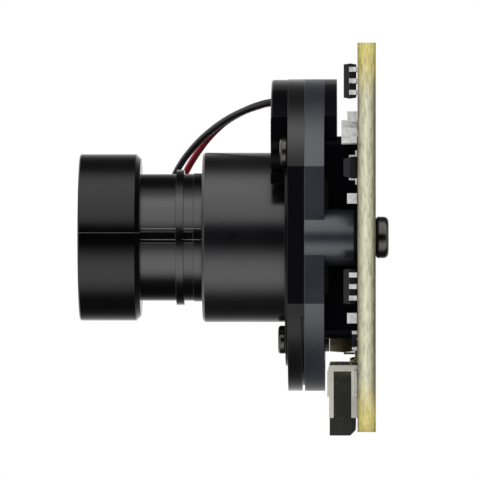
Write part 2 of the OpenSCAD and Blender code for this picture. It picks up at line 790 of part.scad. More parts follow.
module lens_barrel() {
    step = 0.75;                       // the neck widens a little below this level
    color([0.3, 0.3, 0.32])
        difference() {
            union() {
                post([0, 0], thread_d / 2 - fit, z_lens, z_thread);
                difference() {
                    post([0, 0], neck_d / 2, z_thread - eps, z_head + eps);
                    neck_keys();
                }
                post([0, 0], neck_d / 2 + 0.06, z_thread - eps, z_mount + step);
                post([0, 0], ring_d / 2, z_ring, z_neck);
                translate([0, 0, z_head])
                    cylinder(r1 = head_d / 2 - head_chamfer, r2 = head_d / 2, h = head_chamfer + eps);
                post([0, 0], head_d / 2, z_head + head_chamfer, z_nose - 0.1);
                translate([0, 0, z_nose - 0.1 - eps])
                    cylinder(r1 = head_d / 2, r2 = head_d / 2 - 0.1, h = 0.1 + eps);
            }
            post([0, 0], lens_bore_r, z_lens - eps, z_front_glass + eps);
            post([0, 0], front_glass_r + fit, z_front_glass, z_nose + eps);
            post([0, 0], retainer_r + slip, z_retainer, z_nose + eps);
            // thread relief round the head's mouth
            translate([0, 0, z_nose - 0.5])
                cylinder(r1 = retainer_r + slip, r2 = head_d / 2 - 0.4, h = 0.5 + eps);
        }
}

module front_retainer() {
    slot = 0.8;
    color([0.12, 0.12, 0.13])
        difference() {
            post([0, 0], retainer_r, z_retainer, z_retainer + retainer_t);
            translate([0, 0, z_retainer - eps])
                cylinder(r1 = retainer_in, r2 = retainer_in + 0.4, h = retainer_t + 2 * eps);
            // slots for the spanner
            block([-slot / 2, -retainer_r - 1, z_retainer + retainer_t / 2],
                  [slot / 2, retainer_r + 1, z_retainer + retainer_t + eps]);
        }
}

// Round glass between two levels: each face bulges to its own radius of curvature,
// and is flat where that is 0
module glass(r, low, high, back_curve, front_curve) {
    intersection() {
        post([0, 0], r, low, high);
        if (front_curve > 0) translate([0, 0, high - front_curve]) sphere(front_curve, $fn = 240);
        if (back_curve > 0) translate([0, 0, low + back_curve]) sphere(back_curve, $fn = 240);
    }
}

module front_element()
    color([0.75, 0.85, 0.95]) glass(front_glass_r, z_front_glass, front_glass_top, 0, front_glass_curve);

module middle_element()
    color([0.75, 0.85, 0.95]) glass(element_r, z_middle_glass, z_short_spacer, middle_curve, middle_curve);

module rear_element()
    color([0.75, 0.85, 0.95]) glass(element_r, z_rear_glass, z_long_spacer, rear_curve, rear_curve);

// Plain ring between two levels
module ring(outer, inner, low, high) {
    difference() {
        post([0, 0], outer, low, high);
        post([0, 0], inner, low - eps, high + eps);
    }
}

// Distance from a glass's crown to where a ring of that inner radius seats on it
function seat(curve, inner) = sagitta(curve, inner) - slip;

module short_spacer() {
    inner = element_r - spacer_wall;
    color([0.1, 0.1, 0.1]) ring(element_r, inner, z_short_spacer - seat(middle_curve, inner), z_front_glass - slip);
}

module aperture_stop() color([0.1, 0.1, 0.1]) ring(element_r, 1.8, z_stop, z_middle_glass - slip);

module long_spacer() {
    inner = element_r - spacer_wall;
    color([0.1, 0.1, 0.1]) ring(element_r, inner, z_long_spacer - seat(rear_curve, inner), z_stop - slip);
}

module rear_retainer() {
    inner = element_r - 2 * spacer_wall;
    color([0.1, 0.1, 0.1]) ring(element_r, inner, z_lens, z_rear_glass + seat(rear_curve, inner));
}

// ---- flat cable connector ----------------------------------------------------------

// Places its children at both ends of the connector
module at_both_ends() {
    children();
    mirror([0, 1, 0]) children();
}

// Places its children at each contact
module at_contacts()
    for (i = [0:ffc_pins - 1]) translate([0, (i - (ffc_pins - 1) / 2) * ffc_pitch, 0]) children();

module ffc_housing() {
    color([0.93, 0.91, 0.86])
        difference() {
            union() {
                block([ffc_mouth, -ffc_half, z_board], [ffc_back, ffc_half, z_ffc]);
                // lip along each end of the top
                at_both_ends()
                    block([ffc_back - 2.6, arm_in, z_ffc - eps], [ffc_back - 0.45, ffc_half, z_ffc + 0.15]);
            }
            // slot for the flat cable
            block([ffc_mouth - eps, -slot_half, z_slot], [ffc_back - ffc_wall, slot_half, z_slot + slot_t]);
            at_both_ends() {
                // channel for the latch's arm, open at the end and at the mouth
                block([ffc_mouth - eps, arm_in - fit, z_arm - fit], [ffc_mouth + arm_len + 0.2, ffc_half + eps, z_arm + arm_h + fit]);
                // pocket for the hold-down
                block([hold_down_low - fit, arm_in + 0.3, z_board - eps],
                      [hold_down_low + hold_down_len + fit, ffc_half + eps, z_board + hold_down_t + 2 * slip]);
            }
            // grooves for the contacts
            at_contacts()
                block([contact_tip - fit, -contact_w / 2 - slip, z_board - eps],
                      [ffc_back + eps, contact_w / 2 + slip, z_slot + eps]);
        }
}

// Contact seen from the side: a beam along the floor of the slot, a step down behind the
// housing and a foot on the board
module ffc_contacts() {
    foot_low = z_board + slip;
    beam_low = z_slot - contact_t - 0.1;
    riser = ffc_back + 0.15;
    foot_end = riser + contact_t + 0.75;
    color("silver")
        at_contacts()
            translate([0, contact_w / 2, 0])
                rotate([90, 0, 0])
                    linear_extrude(contact_w)
                        polygon([
                            [contact_tip, beam_low], [riser, beam_low], [riser, foot_low],
                            [foot_end, foot_low], [foot_end, foot_low + contact_t],
                            [riser + contact_t + 0.1, foot_low + contact_t],
                            [riser + contact_t, beam_low + contact_t],
                            [contact_tip + 0.7, beam_low + contact_t],
                            [contact_tip + 0.4, beam_low + contact_t + 0.2],
                            [contact_tip, beam_low + contact_t]
                        ]);
}

module ffc_hold_downs() {
    color("silver")
        at_both_ends()
            block([hold_down_low, arm_in + 0.3 + fit, z_board + slip],
                  [hold_down_low + hold_down_len, ffc_half + 0.5, z_board + slip + hold_down_t]);
}

// Latch in its closed place, drawn in profile along the mouth
module ffc_latch() {
    tongue_len = 2.2;
    bar_high = ffc_mouth - fit;
    bar_low = bar_high - latch_bar;
    color([0.12, 0.11, 0.11]) {
        translate([0, ffc_half, 0])
            rotate([90, 0, 0])
                linear_extrude(2 * ffc_half)
                    polygon([
                        [bar_low, z_ffc - 0.05], [bar_high, z_ffc - 0.05], [bar_high, z_board + 0.15],
                        [bar_low + 0.45, z_board + 0.15], [bar_low, z_board + 0.6]
                    ]);
        block([bar_high - eps, -slot_half + 0.15, z_slot + slot_t - tongue_t - fit],
              [bar_high + tongue_len, slot_half - 0.15, z_slot + slot_t - fit]);
        at_both_ends()
            translate([bar_high - eps, ffc_half - 0.05, 0])
                rotate([90, 0, 0])
                    linear_extrude(ffc_half - 0.05 - arm_in)
                        polygon([
                            [0, z_arm], [arm_len - 0.2, z_arm], [arm_len - 0.2, z_arm + arm_h * 0.45],
                            [arm_len - 0.9, z_arm + arm_h], [0, z_arm + arm_h]
                        ]);
    }
}

// ---- small parts on the board --------------------------------------------------------

// Moulded body of a small chip: sides that slope in to the top and to the bottom
module chip_body(len, w, low, high) {
    taper = 0.08;
    mid = (low + high) / 2;
    intersection() {
        translate([-len / 2, 0, 0])
            rotate([90, 0, 90])
                linear_extrude(len)
                    polygon([
                        [-w / 2 + taper, low], [w / 2 - taper, low], [w / 2, mid],
                        [w / 2 - taper, high], [-w / 2 + taper, high], [-w / 2, mid]
                    ]);
        translate([0, w / 2, 0])
            rotate([90, 0, 0])
                linear_extrude(w)
                    polygon([
                        [-len / 2 + taper, low], [len / 2 - taper, low], [len / 2, mid],
                        [len / 2 - taper, high], [-len / 2 + taper, high], [-len / 2, mid]
                    ]);
    }
}

// Bent lead from the side of a chip's body down to a foot on the board, pointing along +y
module gull_wing() {
    lead_w = 0.4;
    lead_t = 0.15;
    foot = 0.42;
    out = chip_span / 2;
    body = chip_w / 2 + slip;
    foot_low = z_board + slip;
    mid = z_board + 0.1 + (chip_h - 0.1) / 2;
    translate([-lead_w / 2, 0, 0])
        rotate([90, 0, 90])
            linear_extrude(lead_w)
                polygon([
                    [out, foot_low], [out, foot_low + lead_t], [out - foot + 0.05, foot_low + lead_t],
                    [out - foot + 0.05, mid + lead_t / 2], [body, mid + lead_t / 2],
                    [body, mid - lead_t / 2], [out - foot - lead_t + 0.05, mid - lead_t / 2],
                    [out - foot - lead_t + 0.05, foot_low]
                ]);
}

// Places its children at a chip, whose length runs up the board, or across it when turned
module at_chip(at, turned = false) translate([at[0], at[1], 0]) rotate([0, 0, turned ? 90 : 0]) children();

module small_chip() color([0.08, 0.08, 0.09]) chip_body(chip_len, chip_w, z_board + 0.1, z_board + chip_h);

module chip_leads() {
    color("silver")
        for (row = [0, 180])
            rotate([0, 0, row])
                for (i = [-1:1]) translate([i * chip_pitch, 0, 0]) gull_wing();
}

module upper_chip_body() at_chip(upper_chip_at) small_chip();
module upper_chip_leads() at_chip(upper_chip_at) chip_leads();
module middle_chip_body() at_chip(middle_chip_at, true) small_chip();
module middle_chip_leads() at_chip(middle_chip_at, true) chip_leads();
module lower_chip_body() at_chip(lower_chip_at) small_chip();
module lower_chip_leads() at_chip(lower_chip_at) chip_leads();

// Middle of a two-ended part, whose length lies along y or, when upright, along x
module two_ended_body(at, size, end, upright = false) {
    trim = upright ? [end, 0, 0] : [0, end, 0];
    low = [at[0] - size[0] / 2, at[1] - size[1] / 2, z_board + slip];
    translate(trim) block(low, low + size - 2 * trim);
}

// Metal ends of a two-ended part
module two_ended_ends(at, size, end, upright = false) {
    along = upright ? [1, 0, 0] : [0, 1, 0];
    across = [1, 1, 1] - along;
    low = [at[0] - size[0] / 2, at[1] - size[1] / 2, z_board + slip];
    length = upright ? size[0] : size[1];
    cap = (end - slip) * along + [across[0] * size[0], across[1] * size[1], size[2]];
    for (start = [0, length - end + slip]) translate(start * along) block(low, low + cap);
}

module capacitor_bodies() {
    color([0.72, 0.6, 0.45]) {
        for (at = small_caps_at) two_ended_body(at, small_cap, cap_end);
        two_ended_body(large_cap_at, large_cap, cap_end);
    }
}

module capacitor_ends() {
    color("silver") {
        for (at = small_caps_at) two_ended_ends(at, small_cap, cap_end);
        two_ended_ends(large_cap_at, large_cap, cap_end);
    }
}

module resistor_bodies()
    color([0.1, 0.1, 0.1])
        for (at = resistor_at) two_ended_body(at, resistor_size, resistor_end, true);

module resistor_ends()
    color("silver")
        for (at = resistor_at) two_ended_ends(at, resistor_size, resistor_end, true);

module inductor() color([0.15, 0.14, 0.15]) two_ended_body(inductor_at, inductor_size, inductor_end);

module inductor_ends() color("silver") two_ended_ends(inductor_at, inductor_size, inductor_end);

module tantalum_body() {
    color([0.75, 0.6, 0.3])
        translate([tantalum_at[0], tantalum_at[1], 0])
            chip_body(tantalum_size[0], tantalum_size[1], z_board + tantalum_lead_t + 2 * slip,
                      z_board + tantalum_size[2]);
}

// Each lead comes out at mid height, folds down the end and back under the body
module tantalum_ends() {
    lead_w = tantalum_size[1] * 0.7;
    under = 1.1;
    mid = z_board + tantalum_size[2] / 2;
    face = tantalum_size[0] / 2 + slip;
    color("silver")
        translate([tantalum_at[0], tantalum_at[1], 0])
            for (end = [0, 180])
                rotate([0, 0, end])
                    translate([0, lead_w / 2, 0])
                        rotate([90, 0, 0])
                            linear_extrude(lead_w)
                                polygon([
                                    [face - under, z_board + slip],
                                    [face + tantalum_lead_t, z_board + slip],
                                    [face + tantalum_lead_t, mid], [face, mid],
                                    [face, z_board + slip + tantalum_lead_t],
                                    [face - under, z_board + slip + tantalum_lead_t]
                                ]);
}

// ---- motor wires ---------------------------------------------------------------------

module wire_header() {
    out = [plug_len + 2 * fit + 2 * header_wall, plug_w + 2 * fit + 2 * header_wall];
    in = [plug_len + 2 * fit, plug_w + 2 * fit];
    floor_t = 0.6;
    color([0.93, 0.91, 0.86])
        translate([plug_at[0], plug_at[1], z_board])
            difference() {
                translate([-out[0] / 2, -out[1] / 2, 0]) cube([out[0], out[1], header_h]);
                translate([-in[0] / 2, -in[1] / 2, floor_t]) cube([in[0], in[1], header_h]);
                // notch for the plug's key
                translate([-plug_key / 2 - fit, in[1] / 2 - eps, floor_t]) cube([plug_key + 2 * fit, header_wall + 1, header_h]);
                for (i = [-0.5, 0.5])
                    translate([i * plug_pitch, 0, -eps]) cylinder(r = pin_r + slip, h = floor_t + 2 * eps);
            }
}

module header_pins() {
    color("gold")
        for (i = [-0.5, 0.5])
            post([plug_at[0] + i * plug_pitch, plug_at[1]], pin_r, z_board + slip, z_pin);
}

module wire_plug() {
    low = z_board + 0.6 + fit;
    color([0.93, 0.91, 0.86])
        difference() {
            translate([plug_at[0], plug_at[1], 0])
                union() {
                    block([-plug_len / 2, -plug_w / 2, low], [plug_len / 2, plug_w / 2, z_plug]);
                    block([-plug_key / 2, plug_w / 2 - eps, low], [plug_key / 2, plug_w / 2 + header_wall, z_plug - 0.5]);
                }
            for (i = [-0.5, 0.5]) {
                at = [plug_at[0] + i * plug_pitch, plug_at[1]];
                post(at, pin_r + fit, low - eps, z_pin + 0.1);
                post(at, wire_d / 2 + slip, z_wire_end, z_plug + eps);
            }
        }
}

// Round tube swept along a list of points, with its ends cut square
module tube(route, d, sides = 8) {
    last = len(route) - 1;
    flat = unit([0.3, 0.95, 0]);          // the routes stay roughly square to this direction
    rings = [
        for (i = [0:last])
            let(along = unit(route[min(i + 1, last)] - route[max(i - 1, 0)]),
                u = unit(cross(along, flat)),
                v = cross(along, u))
                [for (j = [0:sides - 1])
                    route[i] + d / 2 * (cos(360 * j / sides) * u + sin(360 * j / sides) * v)]
    ];
    points = [for (one = rings) for (p = one) p];
    walls = [
        for (i = [0:last - 1], j = [0:sides - 1])
            let(k = (j + 1) % sides)
                [i * sides + k, i * sides + j, (i + 1) * sides + j, (i + 1) * sides + k]
    ];
    start = [for (j = [0:sides - 1]) j];
    end = [for (j = [sides - 1:-1:0]) last * sides + j];
    polyhedron(points, concat([start, end], walls), convexity = 6);
}

function unit(v) = v / norm(v);

// Route points are [up, side, forward], which is the order of the board's own axes
module black_wire() color([0.06, 0.07, 0.06]) tube(black_route, wire_d);

module red_wire() color([0.5, 0.14, 0.2]) tube(red_route, wire_d);

// ---- what is drawn -----------------------------------------------------------------

as_mounted() board();
as_mounted() sensor_package();
as_mounted() sensor_die();
as_mounted() sensor_lid();
as_mounted() holder_base();
as_mounted() holder_front();
as_mounted() motor_cover();
as_mounted() board_screws();
as_mounted() cover_screws();
as_mounted() yoke();
as_mounted() coil_bobbin();
as_mounted() coil_winding();
as_mounted() coil_terminals();
as_mounted() rotor_shaft();
as_mounted() rotor_magnet();
as_mounted() swing_lever();
as_mounted() filter_carriage();
as_mounted() ir_cut_filter();
as_mounted() clear_filter();
as_mounted() lens_barrel();
as_mounted() front_retainer();
as_mounted() front_element();
as_mounted() short_spacer();
as_mounted() middle_element();
as_mounted() aperture_stop();
as_mounted() long_spacer();
as_mounted() rear_element();
as_mounted() rear_retainer();
as_mounted() ffc_housing();
as_mounted() ffc_contacts();
as_mounted() ffc_hold_downs();
as_mounted() ffc_latch();
as_mounted() upper_chip_body();
as_mounted() upper_chip_leads();
as_mounted() middle_chip_body();
as_mounted() middle_chip_leads();
as_mounted() lower_chip_body();
as_mounted() lower_chip_leads();
as_mounted() capacitor_bodies();
as_mounted() capacitor_ends();
as_mounted() resistor_bodies();
as_mounted() resistor_ends();
as_mounted() inductor();
as_mounted() inductor_ends();
as_mounted() tantalum_body();
as_mounted() tantalum_ends();
as_mounted() wire_header();
as_mounted() header_pins();
as_mounted() wire_plug();
as_mounted() black_wire();
as_mounted() red_wire();
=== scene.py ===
"""Looks of the board camera module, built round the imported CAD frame. Metres; the lens looks along -X."""

import math

import bmesh
import bpy
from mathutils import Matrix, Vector
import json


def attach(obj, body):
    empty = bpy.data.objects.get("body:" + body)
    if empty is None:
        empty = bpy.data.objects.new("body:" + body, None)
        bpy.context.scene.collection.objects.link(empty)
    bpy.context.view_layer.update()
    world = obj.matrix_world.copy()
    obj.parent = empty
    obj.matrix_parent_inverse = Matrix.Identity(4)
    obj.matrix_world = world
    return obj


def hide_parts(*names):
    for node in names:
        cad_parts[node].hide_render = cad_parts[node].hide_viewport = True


MM = 0.001

# Sizes that part.scad gives, in its millimetres
BOARD_T = 1.5
HALF_BOARD = 16
Z_PLATE = 4.25  # back of the rear plate
Z_FRONT = 7.31  # front of the front plate
Z_PAD = 7.54  # raised face on the front plate
LUG_R = 2.3
ROTOR_UP = 9.35
SKIN = 0.01  # how far past a face a change of finish lies
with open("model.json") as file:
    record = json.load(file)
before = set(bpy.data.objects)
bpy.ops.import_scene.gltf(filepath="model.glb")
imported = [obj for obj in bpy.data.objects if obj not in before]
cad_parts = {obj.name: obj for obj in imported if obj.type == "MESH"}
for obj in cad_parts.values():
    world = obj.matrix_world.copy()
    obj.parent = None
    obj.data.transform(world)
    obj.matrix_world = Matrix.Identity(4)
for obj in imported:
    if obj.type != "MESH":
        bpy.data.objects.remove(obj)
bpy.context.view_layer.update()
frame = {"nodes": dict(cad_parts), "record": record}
nodes = frame["nodes"]
scene = bpy.context.scene


def at(up, side, forward):
    """A point in the row frame, from part.scad's millimetres up, aside and forward of the board's back."""
    return Vector((-forward * MM, side * MM, up * MM))


# ---- camera ------------------------------------------------------------------------

camera_data = bpy.data.cameras.new("camera")
camera_data.sensor_width = 36
camera_data.lens = 570.7
camera_data.clip_start, camera_data.clip_end = 0.01, 10
camera = bpy.data.objects.new("camera", camera_data)
scene.collection.objects.link(camera)
camera.location = (-0.00075, -0.640, 0)
aim = Vector((-0.0114, 0, -0.00022)) - camera.location
camera.rotation_euler = aim.to_track_quat("-Z", "Y").to_euler()
scene.camera = camera
scene.view_settings.view_transform = "Standard"
scene.view_settings.look = "None"

# ---- materials ---------------------------------------------------------------------


class Nodes:
    """Short names for building one node tree."""

    def __init__(self, tree):
        self.tree = tree
        tree.nodes.clear()

    def add(self, kind, **settings):
        n = self.tree.nodes.new("ShaderNode" + kind)
        for key, value in settings.items():
            setattr(n, key, value)
        return n

    def link(self, source, target):
        self.tree.links.new(source, target)

    def put(self, socket, value):
        if isinstance(value, bpy.types.NodeSocket):
            self.link(value, socket)
        else:
            socket.default_value = value

    def math(self, operation, a, b=0.0, c=0.0, clamp=False):
        n = self.add("Math", operation=operation, use_clamp=clamp)
        for socket, value in zip(n.inputs, (a, b, c)):
            self.put(socket, value)
        return n.outputs[0]

    def place(self, scale=(1, 1, 1)):
        """Object coordinates in millimetres, times scale."""
        m = self.add("Mapping")
        m.inputs["Scale"].default_value = [1000 * s for s in scale]
        self.link(self.add("TexCoord").outputs["Object"], m.inputs["Vector"])
        return m.outputs[0]

    def split(self, vector):
        n = self.add("SeparateXYZ")
        self.link(vector, n.inputs[0])
        return n.outputs

    def noise(self, vector, scale, detail=3.0, roughness=0.55):
        n = self.add("TexNoise")
        self.link(vector, n.inputs["Vector"])
        n.inputs["Scale"].default_value = scale
        n.inputs["Detail"].default_value = detail
        n.inputs["Roughness"].default_value = roughness
        return n.outputs[0]

    def ramp(self, factor, stops, ease="LINEAR"):
        n = self.add("ValToRGB")
        ramp = n.color_ramp
        ramp.interpolation = ease
        while len(ramp.elements) < len(stops):
            ramp.elements.new(0.5)
        for element, (position, colour) in zip(ramp.elements, stops):
            element.position = position
            element.color = colour if isinstance(colour, tuple) else (colour,) * 3 + (1,)
        self.put(n.inputs[0], factor)
        return n.outputs[0]

    def mix(self, factor, a, b, blend="MIX"):
        n = self.add("Mix", data_type="RGBA", blend_type=blend)
        self.put(n.inputs[0], factor)
        self.put(n.inputs[6], a)
        self.put(n.inputs[7], b)
        return n.outputs[2]

    def bump(self, height, distance, strength=1.0, normal=None):
        n = self.add("Bump")
        n.inputs["Strength"].default_value = strength
        n.inputs["Distance"].default_value = distance * MM
        self.link(height, n.inputs["Height"])
        if normal is not None:
            self.link(normal, n.inputs["Normal"])
        return n.outputs[0]

    def edges(self, radius):
        n = self.add("Bevel", samples=6)
        n.inputs["Radius"].default_value = radius * MM
        return n.outputs[0]


def rgb(r, g, b):
    return (r, g, b, 1.0)


def surface(name, colour=None, rough=0.5, metal=0.0, spec=0.5, build=None, bevel=0.0, **extra):
    """A principled material. build(n) returns a dictionary of sockets for what varies over it."""
    m = bpy.data.materials.new(name)
    m.use_nodes = True
    n = Nodes(m.node_tree)
    out = n.add("OutputMaterial")
    p = n.add("BsdfPrincipled")
    n.link(p.outputs[0], out.inputs[0])
    p.inputs["Roughness"].default_value = rough
    p.inputs["Metallic"].default_value = metal
    p.inputs["Specular IOR Level"].default_value = spec
    if colour:
        p.inputs["Base Color"].default_value = rgb(*colour)
        m.diffuse_color = rgb(*colour)
    for key, value in extra.items():
        p.inputs[key].default_value = value
    rounded = n.edges(bevel) if bevel else None
    varied = build(n, rounded) if build else {}
    if rounded is not None and "Normal" not in varied:
        varied["Normal"] = rounded
    for key, value in varied.items():
        n.link(value, p.inputs[key])
    return m


def grained(colour, rough, size, depth, spread=0.12, tint=1.25):
    """Fine grain: a little relief, roughness and colour that change over about size mm."""

    def build(n, rounded):
        v = n.place()
        fine = n.noise(v, 1 / size, 4.0)
        broad = n.noise(v, 0.12 / size, 2.0)
        dark = rgb(*[c / tint for c in colour])
        light = rgb(*[min(1.0, c * tint) for c in colour])
        return {
            "Base Color": n.ramp(n.mix(0.6, fine, broad), [(0.3, dark), (0.7, light)]),
            "Roughness": n.math("MULTIPLY_ADD", broad, 2 * spread, rough - spread),
            "Normal": n.bump(fine, depth, 1.0, rounded),
        }

    return build


def board_look(n, rounded):
    """Dark solder mask on both faces; a sawn glass-fibre edge with its layers, yellower near the corners."""
    v = n.place()
    x, y, z = n.split(v)
    depth = n.math("MULTIPLY", x, -1 / BOARD_T)
    wobble = n.noise(n.place((1, 1, 0.12)), 3.0, 3.0)
    depth = n.math("ADD", depth, n.math("MULTIPLY_ADD", wobble, 0.1, -0.05))
    layers = n.ramp(
        depth,
        [
            (0.0, rgb(0.05, 0.045, 0.02)),
            (0.09, rgb(0.13, 0.12, 0.075)),
            (0.28, rgb(0.46, 0.45, 0.32)),
            (0.55, rgb(0.68, 0.67, 0.49)),
            (0.78, rgb(0.50, 0.48, 0.34)),
            (0.92, rgb(0.26, 0.25, 0.17)),
            (1.0, rgb(0.08, 0.075, 0.035)),
        ],
    )
    corner = n.ramp(
        depth,
        [(0.0, rgb(0.16, 0.14, 0.04)), (0.14, rgb(0.50, 0.44, 0.14)), (0.5, rgb(0.68, 0.58, 0.22)),
         (0.86, rgb(0.52, 0.45, 0.14)), (1.0, rgb(0.2, 0.17, 0.05))],
    )
    off_centre = n.math("MULTIPLY", n.math("ABSOLUTE", z), 1 / HALF_BOARD)
    near_corner = n.ramp(off_centre, [(0.68, 0.0), (0.95, 1.0)], "EASE")
    fibres = n.noise(n.place((2.6, 1, 0.42)), 2.6, 5.0, 0.66)
    flecks = n.ramp(fibres, [(0.34, 0.62), (0.5, 1.0), (0.64, 1.16)])
    sawn = n.mix(1.0, n.mix(near_corner, layers, corner), flecks, "MULTIPLY")
    mask_grain = n.noise(v, 1.6, 3.0)
    mask = n.ramp(mask_grain, [(0.3, rgb(0.012, 0.03, 0.012)), (0.7, rgb(0.02, 0.045, 0.017))])
    facing = n.math("ABSOLUTE", n.split(n.add("NewGeometry").outputs["Normal"])[0])
    on_face = n.math("GREATER_THAN", facing, 0.6)
    return {
        "Base Color": n.mix(on_face, sawn, mask),
        "Roughness": n.math("MULTIPLY_ADD", on_face, -0.42, 0.8),
        "Normal": n.bump(fibres, 0.03, 0.6),
    }


def barrel_look(n, rounded):
    """Black anodised barrel: the head satin, the neck glossier, with fine turning marks, and on the camera's
    side painted highlights along the head's parting line and on the edges of the neck's key."""
    v = n.place()
    x, y, z = n.split(v)
    reach = 30
    forward = n.math("MULTIPLY", x, -1 / reach)
    head = n.ramp(forward, [(19.605 / reach, 0.0), (19.65 / reach, 1.0)])
    ring_back, ring_front, step = 16.05, 16.725, 0.015
    ring = n.ramp(
        forward,
        [
            (ring_back / reach, 1.0),
            ((ring_back + step) / reach, 0.0),
            ((ring_front - step) / reach, 0.0),
            (ring_front / reach, 1.0),
        ],
    )
    turning = n.noise(n.place((14, 0.05, 0.05)), 1.0, 3.0)
    broad = n.noise(v, 0.5, 2.0)
    near = n.math("LESS_THAN", y, 0.0)
    up = n.math("MULTIPLY_ADD", z, 1 / 4, 0.4)
    # On the camera's side only, the parting line and the key's edges get a light grey colour: painted
    # highlights where those edges catch the softboxes.
    parting = n.ramp(up, [(0.490, 0.0), (0.496, 1.0), (0.502, 0.0)])
    line = n.math("MULTIPLY", parting, n.math("MULTIPLY", near, head))
    key = n.ramp(up, [(0.345, 0.0), (0.352, 1.0), (0.362, 0.0), (0.572, 0.0), (0.582, 1.0), (0.589, 0.0)])
    neck = n.math("MULTIPLY", n.math("SUBTRACT", 1.0, head), ring)
    key_edge_highlight = n.math("MULTIPLY", key, n.math("MULTIPLY", near, neck))
    painted_highlight = n.math("MAXIMUM", key_edge_highlight, n.math("MULTIPLY", line, 0.5))
    # Painted shade: the neck's specular drops where its surface turns up or down, standing in for the shade
    # that the head and the holder cast on it.
    tilt = n.math("ABSOLUTE", n.split(n.add("NewGeometry").outputs["Normal"])[2])
    neck_flank_shade = n.ramp(tilt, [(0.56, 1.0), (0.68, 0.45), (0.85, 0.2)])
    shaded_neck_gloss = n.math("MULTIPLY", neck_flank_shade, 0.8)
    black = n.ramp(broad, [(0.3, rgb(0.0008, 0.0008, 0.0011)), (0.7, rgb(0.0018, 0.0018, 0.0023))])
    return {
        "Base Color": n.mix(painted_highlight, black, rgb(0.30, 0.30, 0.32)),
        "Specular IOR Level": n.mix(head, shaded_neck_gloss, rgb(0.33, 0.33, 0.33)),
        "Roughness": n.math("MULTIPLY_ADD", broad, 0.08, 0.13),
        "Normal": n.bump(turning, 0.012, 0.45, rounded),
    }


def winding_look(n, rounded):
    """Turns of enamelled wire round the coil's upright axis, with painted shade in the grooves between the
    turns and painted light on their crests.
    """
    pitch = 0.12
    x, y, z = n.split(n.place())
    turns = n.math("SINE", n.math("MULTIPLY", z, 2 * math.pi / pitch))
    # Painted shade and light: the copper darkens toward the groove between turns and brightens on each crest.
    turn_shading = n.math("MULTIPLY_ADD", turns, 0.5, 0.5)
    return {
        "Base Color": n.ramp(turn_shading, [(0.0, rgb(0.18, 0.06, 0.02)), (1.0, rgb(0.72, 0.30, 0.12))]),
        "Normal": n.bump(turns, 0.04),
    }


def solder_look(n, rounded):
    """Tinned metal with the mottled skin of solder."""
    v = n.place()
    skin = n.noise(v, 2.4, 3.0, 0.6)
    dull, tin, bright = rgb(0.58, 0.58, 0.56), rgb(0.86, 0.86, 0.84), rgb(0.95, 0.95, 0.94)
    return {
        "Base Color": n.ramp(skin, [(0.3, dull), (0.55, tin), (0.8, bright)]),
        "Roughness": n.math("MULTIPLY_ADD", skin, 0.35, 0.22),
        "Normal": n.bump(skin, 0.05, 0.7, rounded),
    }


def coated_glass(name, tint, sheen, back=1.0):
    """Coated glass: clear straight on, with a coloured reflection that grows toward the rim."""
    m = bpy.data.materials.new(name)
    m.use_nodes = True
    n = Nodes(m.node_tree)
    out = n.add("OutputMaterial")
    clear = n.add("BsdfTransparent")
    clear.inputs[0].default_value = rgb(*tint)
    gloss = n.add("BsdfGlossy")
    gloss.inputs["Roughness"].default_value = 0.03
    weight = n.add("LayerWeight")
    weight.inputs["Blend"].default_value = 0.22
    smear = n.noise(n.place(), 0.35, 2.0)
    n.link(n.ramp(smear, [(0.3, rgb(*sheen[0])), (0.7, rgb(*sheen[1]))]), gloss.inputs["Color"])
    mixer = n.add("MixShader")
    n.link(n.math("MULTIPLY_ADD", weight.outputs["Fresnel"], 0.9, 0.05 * back, clamp=True), mixer.inputs[0])
    n.link(clear.outputs[0], mixer.inputs[1])
    n.link(gloss.outputs[0], mixer.inputs[2])
    n.link(mixer.outputs[0], out.inputs[0])
    m.diffuse_color = (*tint, 0.4)
    return m


def cover_look(n, rounded):
    """Black plastic of the motor cover: the crown between the flanks satin, the flanks dull."""
    v = n.place()
    fine = n.noise(v, 10.0, 4.0)
    crown = 4.95
    beside = n.math("GREATER_THAN", n.math("ABSOLUTE", n.split(v)[1]), crown)
    return {
        "Base Color": n.ramp(fine, [(0.3, rgb(0.0016, 0.0016, 0.0021)), (0.7, rgb(0.0026, 0.0026, 0.0034))]),
        "Specular IOR Level": n.mix(beside, rgb(0.34, 0.34, 0.34), rgb(0.05, 0.05, 0.05)),
        "Roughness": n.math("MULTIPLY_ADD", fine, 0.08, 0.2),
        "Normal": n.bump(fine, 0.006, 0.5, rounded),
    }


def screw_look(n, rounded):
    """Black-finished steel, glossy, with a warm brown bloom here and there."""
    v = n.place()
    patch = n.noise(v, 1.1, 4.0)
    return {
        "Base Color": n.ramp(patch, [(0.38, rgb(0.002, 0.0018, 0.0014)), (0.72, rgb(0.02, 0.013, 0.004))]),
        "Roughness": n.math("MULTIPLY_ADD", patch, 0.1, 0.05),
        "Normal": n.bump(patch, 0.012, 0.4, rounded),
    }


